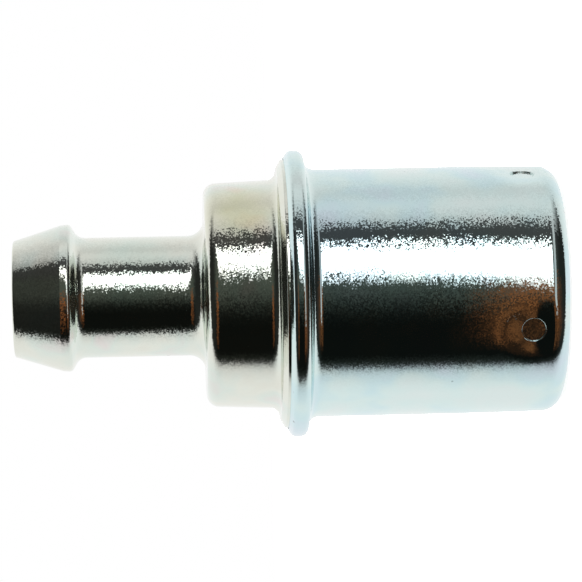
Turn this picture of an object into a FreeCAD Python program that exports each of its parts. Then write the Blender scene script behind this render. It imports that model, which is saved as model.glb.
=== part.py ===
"""Crankcase ventilation valve: a drawn steel shell that pushes into a rubber grommet, a drawn hose
fitting crimped into the shell's bead, and a sprung plunger that slides between an inlet seat and a
metering plate. All sizes are in millimetres. The valve stands on its inlet end: the origin is the
centre of that end and +Z runs along the axis towards the hose tip."""

import FreeCAD
import Part

import math
import os

# Shell
body_diameter = 19.74
body_length = 20.15            # inlet end to the underside of the bead
shell_wall = 0.42
inlet_hole_diameter = 11.0
bottom_corner_radius = 1.5
lead_in_drop = 0.10            # how much smaller the radius is at the inlet end
lead_in_length = 5.5
lead_in_blend_radius = 40.0
bead_height = 1.54             # how far the bead stands out from the body
bead_root_radius = 0.75
bead_inside_radius = 0.20      # inside of the bend between the flange and the bead's crest
lip_inside_radius = 0.08       # inside of the bend between the crest and the rolled lip
lip_cover = 0.18               # how far the lip reaches in over the fitting's flange
lip_end_radius = 0.06

# Stakes that hold the inlet seat
stake_count = 4
stake_diameter = 1.94
stake_depth = 0.30
stake_draw = 0.05              # how much slimmer the boss inside is than the recess outside

# Inlet seat
seat_thickness = 1.55
seat_hole_diameter = 8.4
seat_edge_radius = 0.35

# Metering plate
plate_thickness = 0.30
orifice_diameter = 6.6
collar_height = 1.0
collar_bend_radius = 0.45

# Hose fitting
fitting_wall = 0.65
flange_slope = 32.6            # degrees by which the dished flange leans out of the flat
flange_dish_width = 1.02       # rim to the knee where the flange turns flat
flange_knee_radius = 0.2
flange_edge_radius = 0.08      # edge of the flange beside the lip
flange_rim_thickness = 0.30    # what the crimp leaves of the flange at its rim
shoulder_inset = 1.84          # rim of the flange to the foot of the shoulder
shoulder_height = 5.84         # flat of the flange to the step above the shoulder
shoulder_draft = 2.4           # degrees
shoulder_root_radius = 0.72
shoulder_corner_radius = 1.0
neck_diameter = 9.53
neck_length = 9.64             # step to the back of the barb
neck_root_radius = 1.3
barb_height = 1.10             # how far the crest stands out from the neck
barb_back_length = 0.65
barb_root_radius = 1.0
barb_crest_radius = 0.5
barb_crest_length = 1.0
barb_crest_fall = 0.085        # how far the crest's band falls towards the cone
barb_cone_length = 3.83
barb_cone_angle = 17.2         # degrees, half angle
tip_edge_radius = 0.2

# Plunger
plunger_travel = 5.0
stop_gap = 0.15                # left between the stop and the plate at full travel
seat_overlap = 2.0             # how far the head covers the seat around its hole
head_thickness = 1.1
head_edge_radius = 0.25
stop_overlap = 0.30            # how far the shank stands out past the orifice
idle_gap = 0.25                # round the stem at full travel
open_gap = 1.0                 # round the tip at rest
idle_length = 1.6
taper_length = 2.8
tip_reach = 0.95               # tip above the collar, with the plunger on its seat
tip_radius = 0.9
pocket_diameter = 4.4
pocket_depth = 6.0
pocket_drill_angle = 59.0      # degrees, half angle of the drilled end

# Plunger spring
wire_diameter = 0.50
spring_turns = 7.5
spring_shank_gap = 0.30

# Clearances
press_clearance = 0.03         # between a pressed-in piece and its bore
crimp_clearance = 0.05         # between a rim and the inside of the bead
crimp_gap = 0.01               # between the lip and the rim that it holds

BODY_R = body_diameter / 2
BEAD_R = BODY_R + bead_height
BORE_R = BODY_R - lead_in_drop - shell_wall
RIM_R = BEAD_R - shell_wall - crimp_clearance
FLOOR_Z = shell_wall
SEAT_TOP_Z = FLOOR_Z + seat_thickness
PLATE_Z = body_length + shell_wall
PLATE_TOP_Z = PLATE_Z + plate_thickness
FLANGE_RISE = math.tan(math.radians(flange_slope))
FLANGE_RIM_Z = PLATE_TOP_Z + fitting_wall / math.cos(math.radians(flange_slope))
LIP_END_R = RIM_R - lip_cover
ORIFICE_R = orifice_diameter / 2
SHANK_R = ORIFICE_R + stop_overlap
HEAD_TOP_Z = SEAT_TOP_Z + head_thickness
AXIS = FreeCAD.Vector(0, 0, 1)
ORIGIN = FreeCAD.Vector(0, 0, 0)


def unit(start, end):
    """Direction from one (radius, height) point to another."""
    span = math.hypot(end[0] - start[0], end[1] - start[1])
    return (end[0] - start[0]) / span, (end[1] - start[1]) / span


def point(flat):
    """A (radius, height) pair as a point in the XZ half plane."""
    return FreeCAD.Vector(flat[0], 0, flat[1])


def bend(before, corner, after, radius):
    """The two tangent points and the middle of the arc that rounds a corner."""
    into = unit(before, corner)
    out = unit(corner, after)
    turn = math.acos(max(-1.0, min(1.0, into[0] * out[0] + into[1] * out[1])))
    reach = radius * math.tan(turn / 2)
    first = (corner[0] - into[0] * reach, corner[1] - into[1] * reach)
    last = (corner[0] + out[0] * reach, corner[1] + out[1] * reach)
    middle = ((first[0] + last[0]) / 2, (first[1] + last[1]) / 2)
    inward = unit(corner, middle)
    sagitta = radius / math.cos(turn / 2) - radius
    return first, (corner[0] + inward[0] * sagitta, corner[1] + inward[1] * sagitta), last


def turned(corners):
    """A solid of revolution from the closed outline of (radius, height, corner radius) corners."""
    edges = []
    ends = []
    for n, corner in enumerate(corners):
        if corner[2] > 0:
            first, middle, last = bend(corners[n - 1], corner, corners[(n + 1) % len(corners)], corner[2])
            edges.append(Part.Arc(point(first), point(middle), point(last)).toShape())
            ends.append((first, last))
        else:
            ends.append((corner[:2], corner[:2]))
    for n, (_, last) in enumerate(ends):
        following = ends[(n + 1) % len(ends)][0]
        if math.dist(last, following) > 1e-6:
            edges.append(Part.LineSegment(point(last), point(following)).toShape())
    outline = Part.Wire(Part.__sortEdges__(edges))
    return Part.Face(outline).revolve(ORIGIN, AXIS, 360)


def beside(path, gap):
    """The path that runs a sheet's thickness to the left of an open path of corners."""
    lines = []
    for start, end in zip(path, path[1:]):
        along = unit(start, end)
        left = (-along[1], along[0])
        lines.append(((start[0] + left[0] * gap, start[1] + left[1] * gap), along))
    last = path[-1]
    shifted = [(*lines[0][0], 0)]
    for corner, (here, one), (there, other) in zip(path[1:], lines, lines[1:]):
        cross = one[0] * other[1] - one[1] * other[0]
        step = ((there[0] - here[0]) * other[1] - (there[1] - here[1]) * other[0]) / cross
        radius = corner[2] - gap if cross > 0 else corner[2] + gap
        shifted.append((here[0] + one[0] * step, here[1] + one[1] * step, max(radius, 0)))
    along = lines[-1][1]
    shifted.append((last[0] - along[1] * gap, last[1] + along[0] * gap, 0))
    return shifted


def stake(angle, radius, inner, outer):
    """A round stake's punch, lying along the radius at its angle, from inner to outer."""
    height = SEAT_TOP_Z + press_clearance + stake_diameter / 2
    outward = FreeCAD.Vector(math.cos(angle), math.sin(angle), 0)
    start = outward * inner + FreeCAD.Vector(0, 0, height)
    return Part.makeCylinder(radius, outer - inner, start, outward)


def coined_height(radius):
    """Height at a radius of the slanted step that the crimp coins into the flange's rim."""
    return PLATE_TOP_Z + flange_rim_thickness + (RIM_R - radius) * FLANGE_RISE


def inlet_shell():
    """Drawn cup with the inlet hole in its floor, four stakes and the bead rolled at its mouth."""
    lip_height = shell_wall / math.cos(math.radians(flange_slope))
    lip_end_z = coined_height(LIP_END_R) + crimp_gap
    outside = [
        (inlet_hole_diameter / 2, 0, 0),
        (BODY_R - lead_in_drop, 0, bottom_corner_radius),
        (BODY_R, lead_in_length, lead_in_blend_radius),
        (BODY_R, body_length, bead_root_radius),
        (BEAD_R, body_length, bead_inside_radius + shell_wall),
        (BEAD_R, coined_height(BEAD_R) + crimp_gap + lip_height, lip_inside_radius + shell_wall),
        (LIP_END_R, lip_end_z + lip_height, 0),
    ]
    inside = beside(outside, shell_wall)
    inside[-1] = (LIP_END_R, lip_end_z, 0)
    outside[-1] = (*outside[-1][:2], lip_end_radius)
    shell = turned(outside + inside[::-1])
    for n in range(stake_count):
        angle = 2 * math.pi * n / stake_count
        boss = stake(angle, stake_diameter / 2 - stake_draw, BORE_R - stake_depth, BORE_R + shell_wall / 2)
        recess = stake(angle, stake_diameter / 2, BORE_R + shell_wall - stake_depth, BEAD_R)
        shell = shell.fuse(boss).cut(recess)
    return shell.removeSplitter()


def inlet_seat():
    """Flat ring on the shell's floor, under the stakes, that the plunger's head closes on."""
    radius = BORE_R - press_clearance
    corner = bottom_corner_radius - shell_wall + press_clearance
    hole_r = seat_hole_diameter / 2
    return turned([
        (hole_r, FLOOR_Z, seat_edge_radius),
        (radius, FLOOR_Z, corner),
        (radius, SEAT_TOP_Z, 0),
        (hole_r, SEAT_TOP_Z, seat_edge_radius),
    ])


def metering_plate():
    """Washer clamped under the fitting's flange, with a drawn collar round its orifice."""
    underside = [
        (ORIFICE_R, PLATE_TOP_Z + collar_height, 0),
        (ORIFICE_R, PLATE_Z, collar_bend_radius + plate_thickness),
        (RIM_R, PLATE_Z, 0),
    ]
    top = beside(underside, plate_thickness)
    underside[-1] = (RIM_R, PLATE_Z, bead_inside_radius)
    return turned(underside + top[::-1])


def outlet_fitting():
    """Drawn hose fitting: dished flange, shoulder, neck and a hollow barb."""
    draft = math.tan(math.radians(shoulder_draft))
    flat_z = FLANGE_RIM_Z + flange_dish_width * FLANGE_RISE
    shoulder_r = RIM_R - shoulder_inset
    step_z = flat_z + shoulder_height
    neck_r = neck_diameter / 2
    crest_r = neck_r + barb_height
    back_z = step_z + neck_length
    crest_z = back_z + barb_back_length
    cone_z = crest_z + barb_crest_length
    tip_z = cone_z + barb_cone_length
    cone_r = crest_r - barb_crest_fall
    tip_r = cone_r - barb_cone_length * math.tan(math.radians(barb_cone_angle))
    outside = [
        (RIM_R, FLANGE_RIM_Z, 0),
        (RIM_R - flange_dish_width, flat_z, flange_knee_radius),
        (shoulder_r, flat_z, shoulder_root_radius),
        (shoulder_r - shoulder_height * draft, step_z, shoulder_corner_radius),
        (neck_r, step_z, neck_root_radius),
        (neck_r, back_z, barb_root_radius),
        (crest_r, crest_z, barb_crest_radius),
        (cone_r, cone_z, 0),
        (tip_r, tip_z, 0),
    ]
    inside = beside(outside, fitting_wall)
    bore_tip_r = tip_r - fitting_wall / math.cos(math.radians(barb_cone_angle))
    outside[-1] = (tip_r, tip_z, tip_edge_radius)
    inside[-1] = (bore_tip_r, tip_z, tip_edge_radius)
    inside[0] = (RIM_R, PLATE_TOP_Z, 0)
    step_r = LIP_END_R - crimp_gap
    step = [
        (RIM_R, coined_height(RIM_R), 0),
        (step_r, coined_height(step_r), 0),
        (step_r, FLANGE_RIM_Z + (RIM_R - step_r) * FLANGE_RISE, flange_edge_radius),
    ]
    return turned(step + outside[1:] + inside[::-1])


def plunger():
    """Head, shank and stepped metering stem in one turned piece, drilled up from below."""
    head_r = seat_hole_diameter / 2 + seat_overlap
    stop_z = PLATE_Z - plunger_travel - stop_gap
    idle_top_z = stop_z + idle_length
    tip_z = PLATE_TOP_Z + collar_height + tip_reach
    pocket_r = pocket_diameter / 2
    pocket_z = SEAT_TOP_Z + pocket_depth
    return turned([
        (pocket_r, SEAT_TOP_Z, 0),
        (head_r, SEAT_TOP_Z, head_edge_radius),
        (head_r, HEAD_TOP_Z, head_edge_radius),
        (SHANK_R, HEAD_TOP_Z, 0),
        (SHANK_R, stop_z, 0),
        (ORIFICE_R - idle_gap, stop_z, 0),
        (ORIFICE_R - idle_gap, idle_top_z, 0),
        (ORIFICE_R - open_gap, idle_top_z + taper_length, 0),
        (ORIFICE_R - open_gap, tip_z, tip_radius),
        (0, tip_z, 0),
        (0, pocket_z + pocket_r / math.tan(math.radians(pocket_drill_angle)), 0),
        (pocket_r, pocket_z, 0),
    ])


def plunger_spring():
    """Compression spring from the plunger's head to the plate, with its ends ground flat."""
    mean_r = SHANK_R + spring_shank_gap + wire_diameter / 2
    height = PLATE_Z - HEAD_TOP_Z
    pitch = height / spring_turns
    helix = Part.makeHelix(pitch, height, mean_r)
    section = Part.Wire(Part.makeCircle(
        wire_diameter / 2, FreeCAD.Vector(mean_r, 0, 0), FreeCAD.Vector(0, 1, 0)))
    coil = Part.Wire(helix).makePipeShell([section], True, True)
    coil.translate(FreeCAD.Vector(0, 0, HEAD_TOP_Z))
    room = Part.makeCylinder(mean_r + wire_diameter, height, FreeCAD.Vector(0, 0, HEAD_TOP_Z))
    return coil.common(room)


def main():
    os.makedirs("parts", exist_ok=True)
    pieces = {
        "inlet_shell": inlet_shell(),
        "inlet_seat": inlet_seat(),
        "metering_plate": metering_plate(),
        "outlet_fitting": outlet_fitting(),
        "plunger": plunger(),
        "plunger_spring": plunger_spring(),
    }
    for name, shape in pieces.items():
        print(name, shape.isValid(), len(shape.Solids), round(shape.Volume, 3))
        shape.exportStep(f"parts/{name}.step")


main()
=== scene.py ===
import math

import bpy
from mathutils import Matrix, Vector


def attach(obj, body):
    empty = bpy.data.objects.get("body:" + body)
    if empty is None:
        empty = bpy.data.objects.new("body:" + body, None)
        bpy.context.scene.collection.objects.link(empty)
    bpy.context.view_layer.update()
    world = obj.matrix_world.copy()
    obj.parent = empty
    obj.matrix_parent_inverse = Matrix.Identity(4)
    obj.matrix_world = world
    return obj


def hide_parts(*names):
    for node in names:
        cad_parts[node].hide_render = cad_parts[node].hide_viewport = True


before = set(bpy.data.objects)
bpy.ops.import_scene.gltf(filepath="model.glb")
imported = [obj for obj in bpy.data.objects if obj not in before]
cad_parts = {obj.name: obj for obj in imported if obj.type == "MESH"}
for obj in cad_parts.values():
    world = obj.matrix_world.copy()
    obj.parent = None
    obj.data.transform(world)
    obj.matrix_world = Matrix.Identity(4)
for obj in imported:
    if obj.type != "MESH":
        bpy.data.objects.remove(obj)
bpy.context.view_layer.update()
mm = 0.001


def toLinear(hexColour):
    # sRGB hex to the linear colour that the shader wants
    parts = [int(hexColour[n:n + 2], 16) / 255 for n in (1, 3, 5)]
    return [c / 12.92 if c <= 0.04045 else ((c + 0.055) / 1.055) ** 2.4 for c in parts] + [1.0]


def addNode(tree, kind, settings=None, links=None):
    # a setting is a property of the node or the value of an input, a link is a socket that feeds an input
    node = tree.nodes.new(kind)
    for name, value in (settings or {}).items():
        if isinstance(name, str) and hasattr(node, name):
            setattr(node, name, value)
        else:
            node.inputs[name].default_value = value
    for name, source in (links or {}).items():
        tree.links.new(source, node.inputs[name])
    return node


def calculate(tree, operation, *values):
    # one step of arithmetic, on numbers and sockets
    settings = {"operation": operation}
    links = {}
    for n, value in enumerate(values):
        if isinstance(value, bpy.types.NodeSocket):
            links[n] = value
        else:
            settings[n] = value
    return addNode(tree, "ShaderNodeMath", settings, links).outputs[0]


def joinVectors(tree, operation, *vectors):
    return addNode(tree, "ShaderNodeVectorMath", {"operation": operation}, dict(enumerate(vectors))).outputs[0]


def fade(tree, value, low, high, start=0.0, end=1.0, curve="LINEAR"):
    # start where the value is low, end where it is high
    settings = {"interpolation_type": curve, "From Min": low, "From Max": high, "To Min": start, "To Max": end}
    return addNode(tree, "ShaderNodeMapRange", settings, {0: value}).outputs[0]


def blend(tree, amount, under, over):
    # the colour over covers the socket under as far as the amount says
    return addNode(tree, "ShaderNodeMix", {"data_type": "RGBA", 7: over}, {0: amount, 6: under}).outputs[2]


def addNoise(tree, place, scale, detail, roughness=0.5):
    settings = {"Scale": scale, "Detail": detail, "Roughness": roughness}
    return addNode(tree, "ShaderNodeTexNoise", settings, {"Vector": place}).outputs["Fac"]


def addRamp(tree, amount, stops):
    # a colour that follows the amount; stops are (place from 0 to 1, linear colour)
    node = addNode(tree, "ShaderNodeValToRGB", links={0: amount})
    ramp = node.color_ramp
    while len(ramp.elements) > 1:
        ramp.elements.remove(ramp.elements[-1])
    ramp.elements[0].position = stops[0][0]
    ramp.elements[0].color = stops[0][1]
    for place, colour in stops[1:]:
        ramp.elements.new(place).color = colour
    return node.outputs[0]


def tints(stops):
    return [(place, toLinear(colour)) for place, colour in stops]


def selectOnly(piece):
    bpy.ops.object.select_all(action="DESELECT")
    piece.select_set(True)
    bpy.context.view_layer.objects.active = piece


# how finely the outlines are drawn, and how their ends are joined
fineness = {
    "bendStep": 5,         # degrees, at most, between two points of a bend
    "bendChord": 0.27,     # mm, at most, between them
    "bendLeast": 3,        # steps in any bend
    "longRun": 0.3,        # mm; a straight run that is longer gets a point close to each end
    "holdGap": 0.04,       # mm from the end to that point
    "startSize": 0.001,    # m, of the plane that is merged into the first point
    "endWeld": 1e-7,       # m, joins an outline's end to its start
    "seamWeld": 2e-7,      # m, joins the end of a spin to its start
    "smoothAngle": 24,     # degrees; a sharper edge is shaded sharp
}


def roundedOutline(corners):
    # corners are (radius, height, rounding) in mm; the points close to the ends of a straight run
    # keep the shading of a long wall straight beside a small bend
    points = []
    for n, (r, z, rounding) in enumerate(corners):
        before = Vector(corners[n - 1][:2])
        here = Vector((r, z))
        after = Vector(corners[(n + 1) % len(corners)][:2])
        into = (here - before).normalized()
        out = (after - here).normalized()
        turn = into.angle(out)
        if rounding == 0:
            points.append(here)
            continue
        reach = rounding * math.tan(turn / 2)
        side = 1 if into.cross(out) > 0 else -1
        centre = here - into * reach + Vector((-into.y, into.x)) * rounding * side
        start = here - into * reach - centre
        count = max(fineness["bendLeast"], math.ceil(math.degrees(turn) / fineness["bendStep"]),
                    math.ceil(rounding * turn / fineness["bendChord"]))
        for k in range(count + 1):
            swing = side * turn * k / count
            points.append(centre + Vector((
                start.x * math.cos(swing) - start.y * math.sin(swing),
                start.x * math.sin(swing) + start.y * math.cos(swing))))
    outline = []
    for here, there in zip(points, points[1:] + points[:1]):
        run = there - here
        outline.append(here)
        if run.length > fineness["longRun"]:
            hold = run.normalized() * fineness["holdGap"]
            outline += [here + hold, there - hold]
    return [Vector((p.x * mm, 0, p.y * mm)) for p in outline]


def spinPiece(name, corners, steps):
    outline = roundedOutline(corners)
    bpy.ops.object.select_all(action="DESELECT")
    bpy.ops.mesh.primitive_plane_add(size=fineness["startSize"], enter_editmode=True)
    bpy.ops.mesh.merge(type="CENTER")
    bpy.ops.transform.translate(value=outline[0])
    for here, there in zip(outline, outline[1:] + outline[:1]):
        bpy.ops.mesh.extrude_region_move(TRANSFORM_OT_translate={"value": there - here})
    bpy.ops.mesh.select_all(action="SELECT")
    bpy.ops.mesh.remove_doubles(threshold=fineness["endWeld"])
    bpy.ops.mesh.spin(steps=steps, angle=2 * math.pi, center=(0, 0, 0), axis=(0, 0, 1))
    bpy.ops.mesh.select_all(action="SELECT")
    bpy.ops.mesh.remove_doubles(threshold=fineness["seamWeld"])
    bpy.ops.mesh.normals_make_consistent(inside=False)
    bpy.ops.object.mode_set(mode="OBJECT")
    piece = bpy.context.object
    piece.name = piece.data.name = name
    return piece


# the shell: drawn cup, bead rolled over the fitting's flange; corners are (radius, height, rounding) in mm
shell = {
    "outline": [
        (5.5, 0, 0.05), (9.77, 0, 1.5), (9.87, 5.5, 390), (9.87, 20.15, 0.9),
        (11.41, 20.15, 0.62), (11.41, 21.378, 0.5), (10.76, 21.7937, 0.06), (10.76, 21.2951, 0),
        (10.99, 21.148, 0.08), (10.99, 20.57, 0.2), (9.45, 20.57, 1.3), (9.45, 5.5038, 389.58),
        (9.3576, 0.42, 1.08), (5.5, 0.42, 0.05)],
    "steps": 288,
    "rowCount": 18,           # rows of edges round the stakes
    "rowStart": 0.75,         # mm above the inlet end
    "rowGap": 0.26,           # mm from row to row
    "wallAtStake": 9.83,      # mm from the axis to the wall
    "pullReach": 0.2,         # mm round a stake's centre, where the wall is pulled in
    "dishDepth": 0.22,        # mm
    "dishRadius": 3.0,        # mm
    "stakeCount": 4,
    "stakeHeight": 2.97,      # mm above the inlet end
    "stakeRadius": 0.93,      # mm
    "stakeDepth": 0.10,       # mm
    "stakeCorner": 0.03,      # mm, rounding of the recess's floor
    "stakeLip": 0.05,         # mm, rounding of the recess's rim
    "rimFlare": 1.5,          # width of the rim, in roundings of the lip
    "rimRise": 0.012,         # mm from the inner to the outer edge of the rim
    "punchSteps": 72,
    "punchLength": 1.2,       # mm
    "punchTip": 0.0001,       # mm, small enough for the weld to close it on the axis
}

# the fitting: dished flange, shoulder, neck and hollow barb
fitting = {
    "outline": [
        (10.94, 21.17, 0), (10.70, 21.33, 0), (10.70, 21.96, 0.12), (10.05, 22.35, 0.3),
        (9.1, 22.35, 0.85), (8.8552, 28.1339, 1.0), (4.765, 28.1339, 1.3), (4.765, 38.10, 0.9),
        (5.865, 38.76, 0.42), (5.79, 39.48, 0.1), (4.5944, 43.2539, 0.2), (3.914, 43.2539, 0.2),
        (5.1382, 39.45, 0), (5.1829, 39.10, 0), (4.115, 38.45, 1.65), (4.115, 27.4839, 1.95),
        (8.2319, 27.4839, 0.35), (8.4767, 21.6439, 1.37), (9.7299, 21.6439, 0), (10.94, 20.87, 0)],
    "steps": 288,
}

shellPiece = spinPiece("inletShell", shell["outline"], shell["steps"])
fittingPiece = spinPiece("outletFitting", fitting["outline"], fitting["steps"])
print("spun the shell and the fitting")

# rows of edges round the stakes, so that the wall there can bend
selectOnly(shellPiece)
bpy.ops.object.mode_set(mode="EDIT")
for n in range(shell["rowCount"]):
    rowHeight = (shell["rowStart"] + shell["rowGap"] * n) * mm
    bpy.ops.mesh.select_all(action="SELECT")
    bpy.ops.mesh.bisect(plane_co=(0, 0, rowHeight), plane_no=(0, 0, 1))
bpy.ops.mesh.select_all(action="DESELECT")
bpy.ops.object.mode_set(mode="OBJECT")

# the punch's outline starts on the floor of the recess that it leaves
recess, lip, depth = (shell[key] for key in ("stakeRadius", "stakeLip", "stakeDepth"))
rim = recess + lip * shell["rimFlare"]
punchOutline = [
    (shell["punchTip"], 0, 0), (recess, 0, shell["stakeCorner"]), (recess, depth, lip),
    (rim, depth + shell["rimRise"], 0), (rim, shell["punchLength"], 0),
    (shell["punchTip"], shell["punchLength"], 0)]
recessFloor = shell["wallAtStake"] - shell["dishDepth"] - shell["stakeDepth"]

# each punch pulls the wall in around it, and leaves a round recess with a crisp rim
for n in range(shell["stakeCount"]):
    roundTo = math.radians(360 / shell["stakeCount"] * n)
    outward = Matrix.Rotation(roundTo, 3, "Z") @ Vector((1, 0, 0))
    centre = outward * shell["wallAtStake"] * mm + Vector((0, 0, shell["stakeHeight"] * mm))
    for vertex in shellPiece.data.vertices:
        vertex.select = (vertex.co - centre).length < shell["pullReach"] * mm
    bpy.ops.object.mode_set(mode="EDIT")
    bpy.ops.transform.translate(
        value=outward * -shell["dishDepth"] * mm, use_proportional_edit=True,
        proportional_edit_falloff="SMOOTH", proportional_size=shell["dishRadius"] * mm)
    bpy.ops.mesh.select_all(action="DESELECT")
    bpy.ops.object.mode_set(mode="OBJECT")
    punch = spinPiece("punch", punchOutline, shell["punchSteps"])
    punch.matrix_world = (Matrix.Rotation(roundTo, 4, "Z")
                          @ Matrix.Translation((recessFloor * mm, 0, shell["stakeHeight"] * mm))
                          @ Matrix.Rotation(math.radians(90), 4, "Y"))
    selectOnly(shellPiece)
    cut = shellPiece.modifiers.new("stake", "BOOLEAN")
    cut.operation = "DIFFERENCE"
    cut.object = punch
    bpy.ops.object.modifier_apply(modifier=cut.name)
    bpy.data.objects.remove(punch)

for piece in (shellPiece, fittingPiece):
    selectOnly(piece)
    bpy.ops.object.shade_smooth_by_angle(angle=math.radians(fineness["smoothAngle"]))
print("punched the stakes")

for piece, node in ((shellPiece, "inlet_shell"), (fittingPiece, "outlet_fitting")):
    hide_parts(node)
    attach(piece, "valve_body")


def bareMaterial(name):
    material = bpy.data.materials.new(name)
    material.use_nodes = True
    material.node_tree.nodes.clear()
    return material, material.node_tree


def finishMetal(tree, colour, roughness, normal):
    links = {"Base Color": colour, "Roughness": roughness, "Normal": normal}
    metal = addNode(tree, "ShaderNodeBsdfPrincipled", {"Metallic": 1.0}, links)
    addNode(tree, "ShaderNodeOutputMaterial", links={0: metal.outputs[0]})


# what both plates share; a scale counts the pattern's cells in a metre, so 1000 gives cells of 1 mm,
# and four values in a row are those of fade: from low to high, from start to end
plate = {
    "patchDetail": 2.0,
    "blushCore": 0.2,                 # share of a blush's reach that has its full tint
    "drawnStretch": 0.03,             # scale along the axis over that round it
    "lineScale": 3000.0,
    "lineDetail": 2.0,
    "lineDepth": 0.0000008,           # m
    "waveScale": 130.0,
    "waveDetail": 0.0,
    "waveDepth": 0.00003,             # m
    "grainScale": 10500.0,
    "wornScale": 330.0,
    "wornDetail": 2.0,
    "wornGrain": (0.35, 0.65, 0.65, 1.3),
    "upperSide": (0.94, 0.33, 0),     # direction of the side that is up in the picture
    "rubbedGrain": (-5.5 * mm, -1.5 * mm, 0.3, 1.0),
    "speckShade": (0.06, 0.15, 0.8, 0.0),
    "dirt": "#2e2b26",
    "smudgeScale": 420.0,
    "smudgeDetail": 4.0,
    "smudgeRoughness": 0.65,
    "smudgeRange": (0.45, 0.75),
    "smudgeDulls": 0.03,              # added to the roughness
}


def platedSteel(name, look):
    # Zinc plate over drawn steel, passivated. The eye gets a nearly mirror-bright metal whose tumbled
    # grain breaks up the edges of reflections round the axis, a faint coloured film and a few specks.
    material, tree = bareMaterial(name)
    place = addNode(tree, "ShaderNodeTexCoord").outputs["Object"]
    split = addNode(tree, "ShaderNodeSeparateXYZ", links={0: place})

    # passivation film: soft patches of tint, some 4 mm across, and larger blushes
    patches = addNoise(tree, place, look["patchScale"], plate["patchDetail"])
    tint = addRamp(tree, patches, tints(look["film"]))
    for colour, centre, reach in look["blushes"]:
        away = addNode(tree, "ShaderNodeVectorMath",
                       {"operation": "DISTANCE", 1: [c * mm for c in centre]}, {0: place})
        near = fade(tree, away.outputs["Value"], reach * plate["blushCore"] * mm, reach * mm,
                    1.0, 0.0, "SMOOTHSTEP")
        tint = blend(tree, calculate(tree, "MULTIPLY", near, patches), tint, toLinear(colour))

    # slow waves round the drawn wall, and fine lines that the die left along the axis
    along = addNode(tree, "ShaderNodeMapping", {"Scale": (1, 1, plate["drawnStretch"])}, {"Vector": place})
    lines = addNoise(tree, along.outputs[0], plate["lineScale"], plate["lineDetail"])
    waves = addNoise(tree, along.outputs[0], plate["waveScale"], plate["waveDetail"])
    lineHeight = calculate(tree, "MULTIPLY", lines, plate["lineDepth"])
    height = calculate(tree, "MULTIPLY_ADD", waves, plate["waveDepth"], lineHeight)
    bump = addNode(tree, "ShaderNodeBump", {"Strength": 1.0, "Distance": 1.0}, {"Height": height})

    # Tumbled grain, drawn at 0.1 mm, coarser than the real one. Its facets lean round the axis more
    # than along it, since drawing stretched them. The lower side is rubbed smoother.
    grain = addNode(tree, "ShaderNodeTexVoronoi", {"Scale": plate["grainScale"], "Randomness": 1.0},
                    {"Vector": place})
    facet = addNode(tree, "ShaderNodeSeparateColor", links={0: grain.outputs["Color"]})
    wear = addNoise(tree, place, plate["wornScale"], plate["wornDetail"])
    worn = fade(tree, wear, *plate["wornGrain"])
    across = addNode(tree, "ShaderNodeVectorMath", {"operation": "DOT_PRODUCT", 1: plate["upperSide"]},
                     {0: place})
    rubbed = fade(tree, across.outputs["Value"], *plate["rubbedGrain"], "SMOOTHSTEP")
    lean = calculate(tree, "SUBTRACT", facet.outputs[0], 0.5)
    for factor in (worn, rubbed, look["grainLean"]):
        lean = calculate(tree, "MULTIPLY", lean, factor)
    tip = calculate(tree, "SUBTRACT", facet.outputs[1], 0.5)
    tip = calculate(tree, "MULTIPLY", tip, look["grainTip"])
    backX = calculate(tree, "MULTIPLY", split.outputs["Y"], -1.0)
    roundAxis = addNode(tree, "ShaderNodeCombineXYZ", links={0: backX, 1: split.outputs["X"]})
    roundAxis = joinVectors(tree, "NORMALIZE", roundAxis.outputs[0])
    leaning = addNode(tree, "ShaderNodeVectorMath", {"operation": "SCALE"}, {0: roundAxis, "Scale": lean})
    tipping = addNode(tree, "ShaderNodeCombineXYZ", links={2: tip})
    offset = joinVectors(tree, "ADD", leaning.outputs[0], tipping.outputs[0])
    offset = addNode(tree, "ShaderNodeVectorTransform",
                     {"vector_type": "VECTOR", "convert_from": "OBJECT", "convert_to": "WORLD"}, {0: offset})
    normal = joinVectors(tree, "ADD", bump.outputs[0], offset.outputs[0])
    normal = joinVectors(tree, "NORMALIZE", normal)

    # dirt specks caught in the grain
    specks = addNode(tree, "ShaderNodeTexVoronoi", {"Scale": look["speckScale"], "Randomness": 1.0},
                     {"Vector": place})
    pick = addNode(tree, "ShaderNodeSeparateColor", links={0: specks.outputs["Color"]})
    rare = calculate(tree, "GREATER_THAN", pick.outputs[0], look["speckRarity"])
    dot = fade(tree, specks.outputs["Distance"], *plate["speckShade"])
    colour = blend(tree, calculate(tree, "MULTIPLY", rare, dot), tint, toLinear(plate["dirt"]))

    # handling leaves the plate duller in places
    smudge = addNoise(tree, place, plate["smudgeScale"], plate["smudgeDetail"], plate["smudgeRoughness"])
    rough = look["roughness"]
    dull = fade(tree, smudge, *plate["smudgeRange"], rough, rough + plate["smudgeDulls"])
    finishMetal(tree, colour, dull, normal)
    return material


# clear blue passivation: cool, with green casts; a blush is (colour, centre in mm, reach in mm)
bluePlate = platedSteel("blue passivated zinc plate", {
    "patchScale": 210.0,
    "film": [(0.30, "#d4e4ec"), (0.44, "#d0e8eb"), (0.55, "#d9ecea"), (0.68, "#deebe9")],
    "blushes": [("#cfe2ee", (6.0, -7.8, 18.0), 6.0)],
    "grainLean": 0.13,
    "grainTip": 0.008,
    "speckScale": 900.0,
    "speckRarity": 0.975,
    "roughness": 0.045,
})

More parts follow.
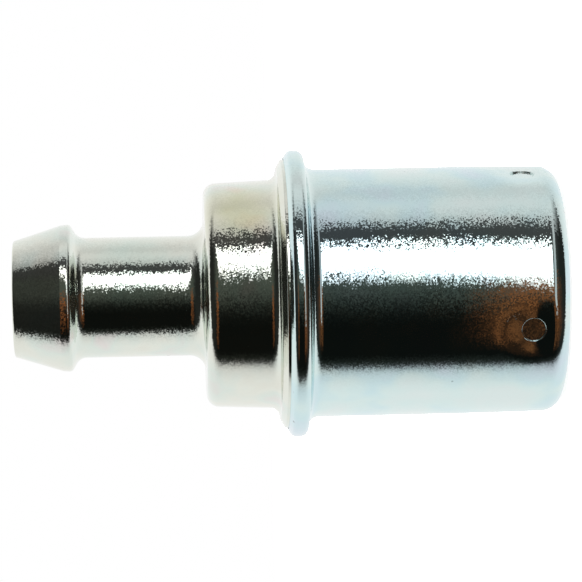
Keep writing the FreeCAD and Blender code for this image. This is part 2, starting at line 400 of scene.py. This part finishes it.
# the fitting's plate is neutral, with straw and green casts
strawPlate = platedSteel("straw tinted zinc plate", {
    "patchScale": 260.0,
    "film": [(0.30, "#e4e4d9"), (0.45, "#e6e9df"), (0.58, "#dfe8e0"), (0.70, "#e5e0dc")],
    "blushes": [("#dad3a4", (8.2, -3.4, 25.4), 4.6), ("#c9e0d6", (3.6, -3.1, 34.0), 5.0)],
    "grainLean": 0.12,
    "grainTip": 0.07,
    "speckScale": 950.0,
    "speckRarity": 0.96,
    "roughness": 0.06,
})

# what the inner pieces share
oiled = {
    "ringDetail": 2.0,
    "ringDepth": 0.03,       # share of the rings' pitch
    "oilScale": 300.0,       # patches of some 3 mm
    "oilDetail": 3.0,
    "oilColour": "#8f8a80",
    "oilEdges": (0.35, 0.65),
    "oilRange": (0.3, 0.7),
    "oilDulls": 0.12,        # added to the roughness
}


def turnedSteel(name, colour, pitch, roughness):
    # Bare steel with the rings that a turning or grinding tool leaves round the axis, under a film of oil
    material, tree = bareMaterial(name)
    place = addNode(tree, "ShaderNodeTexCoord").outputs["Object"]
    split = addNode(tree, "ShaderNodeSeparateXYZ", links={0: place})
    flat = addNode(tree, "ShaderNodeCombineXYZ", links={0: split.outputs["X"], 1: split.outputs["Y"]})
    out = addNode(tree, "ShaderNodeVectorMath", {"operation": "LENGTH"}, {0: flat.outputs[0]})
    ringed = addNode(tree, "ShaderNodeCombineXYZ", links={0: out.outputs["Value"], 2: split.outputs["Z"]})
    rings = addNoise(tree, ringed.outputs[0], 1 / pitch, oiled["ringDetail"])
    bump = addNode(tree, "ShaderNodeBump", {"Strength": 1.0, "Distance": pitch * oiled["ringDepth"]},
                   {"Height": rings})
    oil = addNoise(tree, place, oiled["oilScale"], oiled["oilDetail"])
    tone = addRamp(tree, oil, tints(zip(oiled["oilEdges"], (colour, oiled["oilColour"]))))
    rough = fade(tree, oil, *oiled["oilRange"], roughness, roughness + oiled["oilDulls"])
    finishMetal(tree, tone, rough, bump.outputs[0])
    return material


# pitch of the rings in m, then roughness
pressedSteel = turnedSteel("pressed steel, oiled", "#b9b8b3", 0.0002, 0.28)
turnedPlunger = turnedSteel("turned steel", "#a9a8a4", 0.00012, 0.22)
springWire = turnedSteel("drawn spring wire", "#8d8c8a", 0.0003, 0.30)


def dress(mesh, material):
    mesh.materials.clear()
    mesh.materials.append(material)


dressed = {
    "inlet_seat": pressedSteel, "metering_plate": pressedSteel,
    "plunger": turnedPlunger, "plunger_spring": springWire,
}
for node, material in dressed.items():
    dress(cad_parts[node].data, material)
plated = ((shellPiece, bluePlate, "shell_plate"), (fittingPiece, strawPlate, "fitting_plate"))
for piece, material, slot in plated:
    dress(piece.data, material)
print("materials done")

# camera: square on to the side of the valve, rolled so that the hose tip points left
shot = {
    "turn": 19.3,                 # degrees round the valve
    "rise": 2.6,                  # degrees above the horizontal
    "lean": 1.2,                  # degrees in the picture
    "distance": 0.2436,           # m
    "lens": 189.0,                # mm
    "clipStart": 0.01,            # m
    "aim": (0.00020, 0.02125),    # m to the picture's top, and up the valve
}
turn, rise, lean = (math.radians(shot[key]) for key in ("turn", "rise", "lean"))
back = Vector((math.sin(turn) * math.cos(rise), -math.cos(turn) * math.cos(rise), math.sin(rise)))
upward = Vector((math.cos(turn), math.sin(turn), 0))
right = upward.cross(back)
pictureRight = right * math.cos(lean) - upward * math.sin(lean)
pictureUp = right * math.sin(lean) + upward * math.cos(lean)
target = upward * shot["aim"][0] + Vector((0, 0, shot["aim"][1]))
cameraData = bpy.data.cameras.new("camera")
cameraData.lens = shot["lens"]
cameraData.clip_start = shot["clipStart"]
camera = bpy.data.objects.new("camera", cameraData)
bpy.context.scene.collection.objects.link(camera)
turnTo = Matrix((pictureRight, pictureUp, back)).transposed().to_4x4()
camera.matrix_world = Matrix.Translation(target + back * shot["distance"]) @ turnTo
bpy.context.scene.camera = camera

# floor: white paper that lies on a light table, so that shadows on it stay faint
paper = {
    "sides": 96,
    "radius": 0.6,            # m
    "fibreScale": 900.0,      # fibres of about 1 mm
    "fibreDetail": 3.0,
    "whites": [(0.3, "#f2f2f0"), (0.7, "#f6f6f5")],
    "roughness": 0.9,
    "gloss": 0.1,
    "glow": 0.85,
}
bpy.ops.object.select_all(action="DESELECT")
bpy.ops.mesh.primitive_circle_add(vertices=paper["sides"], radius=paper["radius"], fill_type="NGON")
floor = bpy.context.object
floor.name = "floor"
floor.visible_glossy = False
paperMaterial, paperTree = bareMaterial("white paper sweep")
paperPlace = addNode(paperTree, "ShaderNodeTexCoord").outputs["Object"]
fibre = addNoise(paperTree, paperPlace, paper["fibreScale"], paper["fibreDetail"])
white = addRamp(paperTree, fibre, tints(paper["whites"]))
sheet = addNode(
    paperTree, "ShaderNodeBsdfPrincipled",
    {"Roughness": paper["roughness"], "Specular IOR Level": paper["gloss"],
     "Emission Strength": paper["glow"]},
    {"Base Color": white, "Emission Color": white})
addNode(paperTree, "ShaderNodeOutputMaterial", links={0: sheet.outputs[0]})
floor.data.materials.append(paperMaterial)

# a round light overhead, in m and W
overhead = {"size": 0.7, "energy": 30.0, "height": 0.8}
overheadData = bpy.data.lights.new("overhead", "AREA")
overheadData.shape = "DISK"
overheadData.size = overhead["size"]
overheadData.energy = overhead["energy"]
overheadLight = bpy.data.objects.new("overhead", overheadData)
overheadLight.location = (0, 0, overhead["height"])
overheadLight.visible_glossy = False
bpy.context.scene.collection.objects.link(overheadLight)

# what stands round the valve, in degrees from the camera towards the picture's top: (angle, brightness)
surround = [
    (-180, 0.97), (-124, 0.93), (-110, 0.93), (-98, 0.89), (-90, 0.82), (-84, 0.75), (-80, 0.64), (-76, 0.40),
    (-72.5, 0.09), (-69, 0.018), (-62, 0.005), (-30, 0.0045), (-20, 0.008), (-12, 0.02), (-5, 0.04),
    (3, 0.065), (12, 0.075), (30, 0.075), (50, 0.06), (63.8, 0.07), (66.8, 0.61), (75, 0.70), (84, 0.80),
    (92, 0.79), (102, 0.69), (115, 0.79), (129, 0.88), (150, 0.94), (180, 1.0),
]
# its dark part in front has a green cast
darkPart = (-71, 31)
darkCast = (0.97, 1.1, 0.92)

# Lamps: "from" and "to" are angles as above. "left" and "right" say how far an end lies towards the
# hose tip, as the sine of an angle, and so does "endSoft", over which the end fades.
# The soft box leans: each long edge is an angle, how far that changes towards the tip, and its softness.
softBox = {
    "from": (21.0, 80.0, 5.5), "to": (45.3, 15.0, 1.6),
    "left": 0.45, "right": -0.20, "endSoft": 0.02, "strength": 2.4,
}
# a narrow lamp stands to its right; the softness of its long edges is in radians
stripLamp = {
    "from": -26.0, "to": 74.0, "edgeSoft": 0.04,
    "left": -0.29, "right": -0.46, "endSoft": 0.015, "strength": 0.55,
}
# darkness past both ends of the valve, save behind it
gloom = {
    "starts": 0.30, "full": 0.80,
    "from": -78, "to": 100, "edgeSoft": 0.12, "colour": (0.019, 0.020, 0.018, 1),
}
# warm wooden things to both sides of the camera: how much of them shows, by angle and towards the tip
wood = {
    "round": [(-58, 0), (-44, 0.7), (-8, 1), (8, 1), (12, 0)],
    "towardsTip": [
        (-0.92, 0), (-0.75, 0.25), (-0.55, 0.7), (-0.155, 1), (-0.135, 0.7), (-0.118, 0.2), (-0.112, 0),
        (0.18, 0), (0.24, 1), (0.42, 0.8), (0.50, 0)],
    "boardScale": 9.0,
    "boardDetail": 3.0,
    "streaks": (0.38, 0.58, 0.2, 1.0),
    "colour": (0.26, 0.09, 0.031, 1),
}

world = bpy.data.worlds.new("studio")
bpy.context.scene.world = world
world.use_nodes = True
sky = world.node_tree
sky.nodes.clear()
skyPlace = addNode(sky, "ShaderNodeTexCoord").outputs["Generated"]
way = addNode(sky, "ShaderNodeMapping", {"Rotation": (0, 0, -turn)}, {"Vector": skyPlace}).outputs[0]
axes = addNode(sky, "ShaderNodeSeparateXYZ", links={0: way})
towardsTip = axes.outputs["Z"]
towardsCamera = calculate(sky, "MULTIPLY", axes.outputs["Y"], -1.0)
turned = calculate(sky, "ARCTAN2", axes.outputs["X"], towardsCamera)
share = calculate(sky, "MULTIPLY_ADD", turned, 0.5 / math.pi, 0.5)


def within(value, low, high, soft):
    # 1 where the value lies between low and high, fading over soft
    rising = fade(sky, value, low - soft, low + soft)
    falling = fade(sky, value, high - soft, high + soft, 1.0, 0.0)
    return calculate(sky, "MULTIPLY", rising, falling)


def aroundStops(pairs):
    # pairs are (degrees from the camera, brightness); the ramp runs from -180 to 180 degrees
    return [((angle + 180) / 360, (bright, bright, bright, 1)) for angle, bright in pairs]


walls = []
for angle, (place, colour) in zip([angle for angle, bright in surround], aroundStops(surround)):
    if darkPart[0] < angle < darkPart[1]:
        colour = tuple(c * cast for c, cast in zip(colour, darkCast)) + (1,)
    walls.append((place, colour))
walls = addRamp(sky, share, walls)

# inside the soft box: past its near edge, short of its far edge, and between its ends
lit = within(towardsTip, softBox["right"], softBox["left"], softBox["endSoft"])
for edgeName, side in (("from", 1), ("to", -1)):
    middle, slope, soft = (math.radians(value) for value in softBox[edgeName])
    edge = calculate(sky, "MULTIPLY_ADD", towardsTip, slope, middle)
    past = calculate(sky, "SUBTRACT", turned, edge)
    lit = calculate(sky, "MULTIPLY", lit, fade(sky, past, -soft * side, soft * side))
stripLit = calculate(
    sky, "MULTIPLY",
    within(towardsTip, stripLamp["right"], stripLamp["left"], stripLamp["endSoft"]),
    within(turned, math.radians(stripLamp["from"]), math.radians(stripLamp["to"]), stripLamp["edgeSoft"]))

fromMiddle = calculate(sky, "ABSOLUTE", towardsTip)
pole = fade(sky, fromMiddle, gloom["starts"], gloom["full"], curve="SMOOTHSTEP")
front = within(turned, math.radians(gloom["from"]), math.radians(gloom["to"]), gloom["edgeSoft"])
walls = blend(sky, calculate(sky, "MULTIPLY", pole, front), walls, gloom["colour"])

woodRound = addRamp(sky, share, aroundStops(wood["round"]))
tipShare = calculate(sky, "MULTIPLY_ADD", towardsTip, 0.5, 0.5)
woodAlong = addRamp(sky, tipShare, [((z + 1) / 2, (v, v, v, 1)) for z, v in wood["towardsTip"]])
woodSeen = calculate(sky, "MULTIPLY", woodRound, woodAlong)
streak = fade(sky, addNoise(sky, way, wood["boardScale"], wood["boardDetail"]), *wood["streaks"])
walls = blend(sky, calculate(sky, "MULTIPLY", woodSeen, streak), walls, wood["colour"])

for amount, lamp in ((stripLit, stripLamp), (lit, softBox)):
    walls = blend(sky, amount, walls, (lamp["strength"],) * 3 + (1,))

# the camera itself sees white behind the valve
cameraRay = addNode(sky, "ShaderNodeLightPath").outputs["Is Camera Ray"]
walls = blend(sky, cameraRay, walls, (1, 1, 1, 1))
glow = addNode(sky, "ShaderNodeBackground", links={0: walls})
addNode(sky, "ShaderNodeOutputWorld", links={0: glow.outputs[0]})

bpy.context.scene.view_settings.view_transform = "Standard"
print("studio done")
